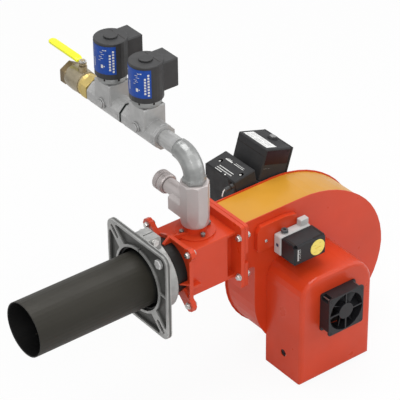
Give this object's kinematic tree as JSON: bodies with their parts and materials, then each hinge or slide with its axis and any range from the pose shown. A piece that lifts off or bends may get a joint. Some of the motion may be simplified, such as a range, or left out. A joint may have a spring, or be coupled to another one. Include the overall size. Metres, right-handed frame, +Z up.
{
  "type": "industrial gas burner",
  "caption": "Forced-draught gas burner: blast tube in a square sliding flange, orange head, spiral fan case with motor hood, gas train with solenoid valves and ball valve.",
  "frame": {"origin": "on the blast tube's axis, in the plane of the sliding flange's boiler-side face", "axes": "+X from the boiler outward along the tube's axis, +Y towards the gas inlet, +Z up"},
  "size_m": [1.1375, 0.9006, 0.906],
  "materials": {
    "sliding_flange": "as cast",
    "flange_clamp_bolt": "zinc plated",
    "flange_lock_screw": "zinc plated",
    "blast_tube": "dark heat-stained steel",
    "head_casting": "orange-red gloss paint",
    "gas_inlet_body": "die cast",
    "gas_elbow": "zinc plated",
    "pipe_nipple": "zinc plated",
    "valve_nipple": "zinc plated",
    "inlet_nipple": "zinc plated",
    "valve_body_1": "die cast",
    "valve_plug_1": "zinc plated",
    "valve_coil_1": "black",
    "coil_cap_1": "black",
    "valve_spring_1": "zinc plated",
    "valve_body_2": "die cast",
    "valve_plug_2": "zinc plated",
    "valve_coil_2": "black",
    "coil_cap_2": "black",
    "valve_spring_2": "zinc plated",
    "ball_valve_body": "plain",
    "volute_scroll": "ochre-orange paint",
    "volute_front_plate": "orange-red gloss paint",
    "volute_back_plate": "orange-red gloss paint",
    "motor_hood": "orange-red gloss paint",
    "fan_frame": "black",
    "motor_housing": "zinc plated",
    "motor_bracket": "zinc plated",
    "damper_bearing": "zinc plated",
    "switch_bracket": "orange-red gloss paint",
    "pressure_switch_body": "grey",
    "pressure_switch_cover": "black",
    "control_bracket": "zinc plated",
    "control_box": "black",
    "reset_spring": "zinc plated",
    "ignition_transformer": "black",
    "transformer_connector": "grey",
    "terminal_base": "black",
    "gas_lance": "zinc plated",
    "gas_nozzle": "plain",
    "diffuser_disc": "dark heat-stained steel",
    "ignition_electrode_1": "white ceramic",
    "ignition_electrode_2": "white ceramic",
    "ionisation_probe": "white ceramic",
    "electrode_clamp": "zinc plated",
    "ball_and_stem": "plain",
    "ball_valve_lever": "yellow coating",
    "lever_nut": "zinc plated",
    "fan_wheel": "zinc plated",
    "motor_shaft": "zinc plated",
    "cooling_fan_rotor": "black",
    "pressure_switch_dial": "pale yellow",
    "reset_button": "grey",
    "regulator_knob": "die cast",
    "regulator_spindle": "plain",
    "valve_plunger_1": "zinc plated",
    "valve_plunger_2": "zinc plated",
    "damper_flap": "zinc plated"
  },
  "bodies": {
    "mounting_flange": {"sliding_flange": "sliding_flange", "flange_clamp_bolt": "flange_clamp_bolt", "flange_lock_screw": "flange_lock_screw"},
    "burner": {"blast_tube": "blast_tube", "head_casting": "head_casting", "gas_inlet_body": "gas_inlet_body", "gas_elbow": "gas_elbow", "pipe_nipple": "pipe_nipple", "valve_nipple": "valve_nipple", "inlet_nipple": "inlet_nipple", "valve_body_1": "valve_body_1", "valve_plug_1": "valve_plug_1", "valve_coil_1": "valve_coil_1", "coil_cap_1": "coil_cap_1", "valve_spring_1": "valve_spring_1", "valve_body_2": "valve_body_2", "valve_plug_2": "valve_plug_2", "valve_coil_2": "valve_coil_2", "coil_cap_2": "coil_cap_2", "valve_spring_2": "valve_spring_2", "ball_valve_body": "ball_valve_body", "volute_scroll": "volute_scroll", "volute_front_plate": "volute_front_plate", "volute_back_plate": "volute_back_plate", "motor_hood": "motor_hood", "fan_frame": "fan_frame", "motor_housing": "motor_housing", "motor_bracket": "motor_bracket", "damper_bearing": "damper_bearing", "switch_bracket": "switch_bracket", "pressure_switch_body": "pressure_switch_body", "pressure_switch_cover": "pressure_switch_cover", "control_bracket": "control_bracket", "control_box": "control_box", "reset_spring": "reset_spring", "ignition_transformer": "ignition_transformer", "transformer_connector": "transformer_connector", "terminal_base": "terminal_base", "gas_lance": "gas_lance", "gas_nozzle": "gas_nozzle", "diffuser_disc": "diffuser_disc", "ignition_electrode_1": "ignition_electrode_1", "ignition_electrode_2": "ignition_electrode_2", "ionisation_probe": "ionisation_probe", "electrode_clamp": "electrode_clamp"},
    "ball_valve": {"ball_and_stem": "ball_and_stem", "ball_valve_lever": "ball_valve_lever", "lever_nut": "lever_nut"},
    "wheel": {"fan_wheel": "fan_wheel", "motor_shaft": "motor_shaft"},
    "motor_fan": {"cooling_fan_rotor": "cooling_fan_rotor"},
    "dial": {"pressure_switch_dial": "pressure_switch_dial"},
    "button": {"reset_button": "reset_button"},
    "knob": {"regulator_knob": "regulator_knob"},
    "spindle": {"regulator_spindle": "regulator_spindle"},
    "plunger_1": {"valve_plunger_1": "valve_plunger_1"},
    "plunger_2": {"valve_plunger_2": "valve_plunger_2"},
    "damper": {"damper_flap": "damper_flap"}
  },
  "joints": [
    {"name": "flange_slide", "type": "slide", "parent": "mounting_flange", "child": "burner", "axis": [1, 0, 0], "range_m": [-0.018, 0.12]},
    {"name": "gas_cock", "type": "hinge", "parent": "burner", "child": "ball_valve", "pos_m": [0.188, 0.492, 0.352], "axis": [0, 0, 1], "range_deg": [0, 90]},
    {"name": "wheel_spin", "type": "hinge", "parent": "burner", "child": "wheel", "pos_m": [0.498, 0, -0.184], "axis": [0, 1, 0], "continuous": true},
    {"name": "motor_fan_spin", "type": "hinge", "parent": "burner", "child": "motor_fan", "pos_m": [0.4977, -0.23, -0.184], "axis": [0, 1, 0], "continuous": true},
    {"name": "dial_turn", "type": "hinge", "parent": "burner", "child": "dial", "pos_m": [0.465, -0.168, -0.0095], "axis": [0, 1, 0], "range_deg": [0, 270]},
    {"name": "reset_press", "type": "slide", "parent": "burner", "child": "button", "axis": [-0.2924, 0, -0.9563], "range_m": [0, 0.003], "stiffness_N_per_m": 600, "springref_m": -0.001, "deforming": ["reset_spring"]},
    {"name": "regulator_turn", "type": "hinge", "parent": "burner", "child": "knob", "pos_m": [0.188, 0.1315, 0.157], "axis": [0, 1, 0], "range_deg": [0, 720]},
    {"name": "regulator_feed", "type": "slide", "parent": "burner", "child": "spindle", "axis": [0, -1, 0], "range_m": [0, 0.0121]},
    {"name": "plunger_lift_1", "type": "slide", "parent": "burner", "child": "plunger_1", "axis": [0, 0, 1], "range_m": [0, 0.005], "stiffness_N_per_m": 1500, "springref_m": -0.004, "deforming": ["valve_spring_1"]},
    {"name": "plunger_lift_2", "type": "slide", "parent": "burner", "child": "plunger_2", "axis": [0, 0, 1], "range_m": [0, 0.005], "stiffness_N_per_m": 1500, "springref_m": -0.004, "deforming": ["valve_spring_2"]},
    {"name": "damper_turn", "type": "hinge", "parent": "burner", "child": "damper", "pos_m": [0.498, -0.14, -0.335], "axis": [1, 0, 0], "range_deg": [0, 90]}
  ],
  "couplings": [
    {"joint": "regulator_feed", "follows": "regulator_turn", "m_per_rad": 0.00095493}
  ]
}
